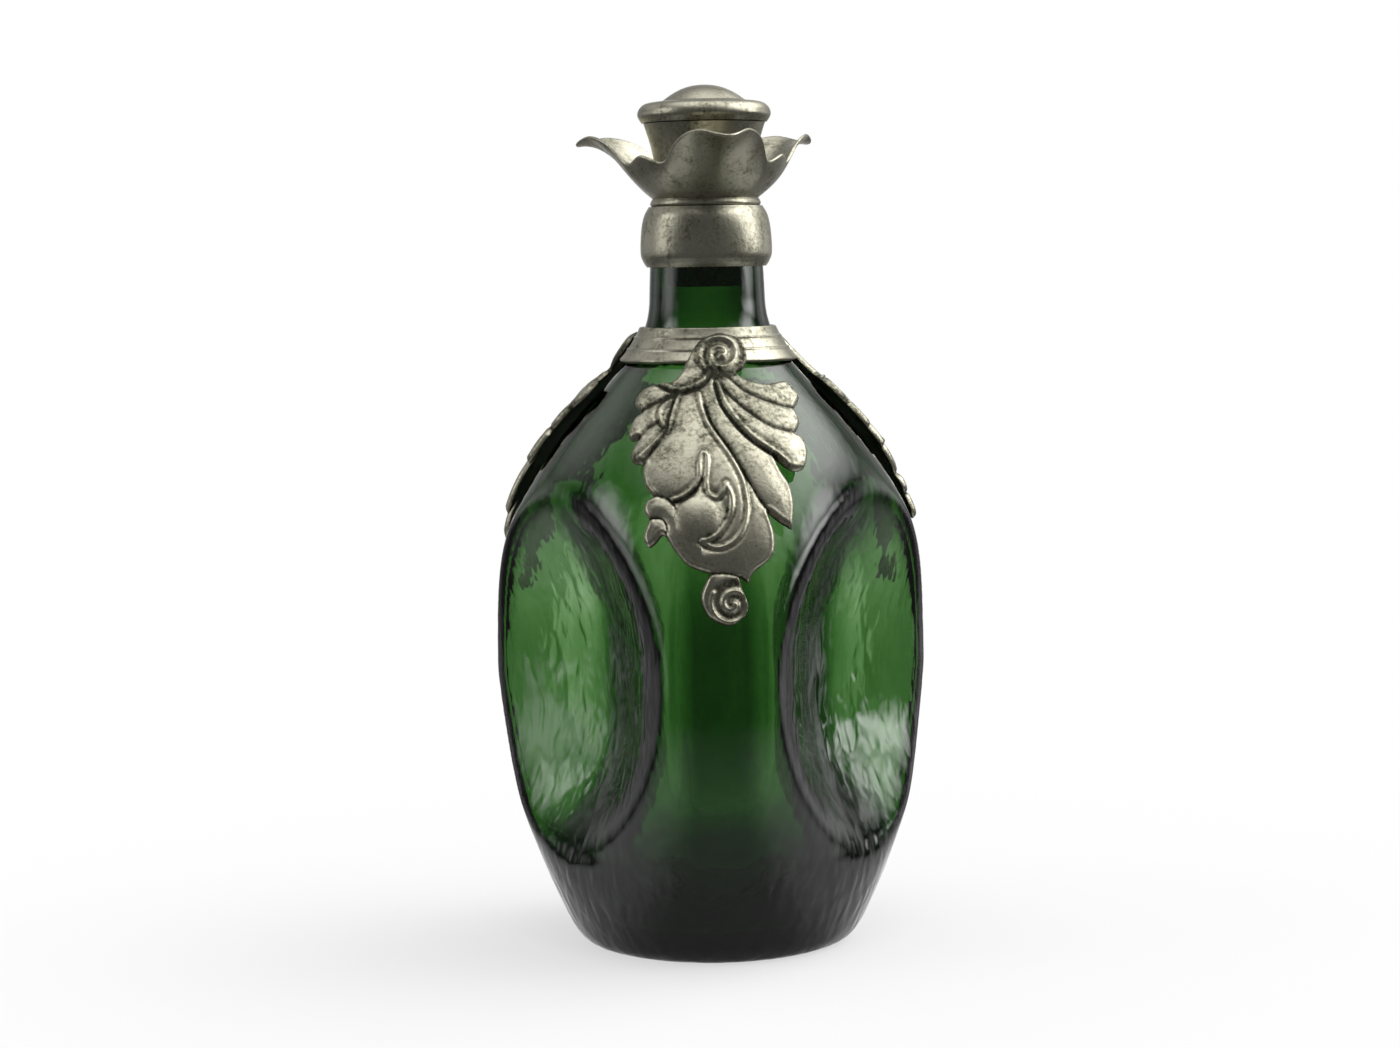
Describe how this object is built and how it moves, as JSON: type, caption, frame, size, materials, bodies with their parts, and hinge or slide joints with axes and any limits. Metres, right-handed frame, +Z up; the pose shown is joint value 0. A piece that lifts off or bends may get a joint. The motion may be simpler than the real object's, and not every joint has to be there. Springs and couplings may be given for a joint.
{
  "type": "glass decanter",
  "caption": "Pinched green glass decanter with pewter leaf mounts, a collar with a petal pouring cup, and a domed stopper whose cork lifts out of the neck.",
  "frame": {"origin": "middle of the flat resting face, on the bottle's upright axis", "axes": "+Z up along the neck, -Y towards the front ridge and its leaf, +X to the right seen from the front"},
  "size_m": [0.1336, 0.1254, 0.2584],
  "materials": {
    "green_glass": "gloss",
    "pewter": "satin",
    "cork": "matte",
    "cement": "matte"
  },
  "bodies": {
    "decanter": {"glass_bottle": "green_glass", "shoulder_band": "pewter", "leaf_front": "pewter", "leaf_left": "pewter", "leaf_right": "pewter", "lip_collar": "pewter", "collar_cement": "cement", "petal_cup": "pewter"},
    "stopper_core": {"cork_stud": "pewter"},
    "stopper_head": {"stopper_dome": "pewter", "stopper_skirt": "pewter", "stopper_cork": "cork"}
  },
  "joints": [
    {"name": "stopper_lift", "type": "slide", "parent": "decanter", "child": "stopper_core", "axis": [0, 0, 1], "range_m": [0, 0.05]},
    {"name": "stopper_turn", "type": "hinge", "parent": "stopper_core", "child": "stopper_head", "pos_m": [0, 0, 0.2225], "axis": [0, 0, 1], "continuous": true}
  ]
}
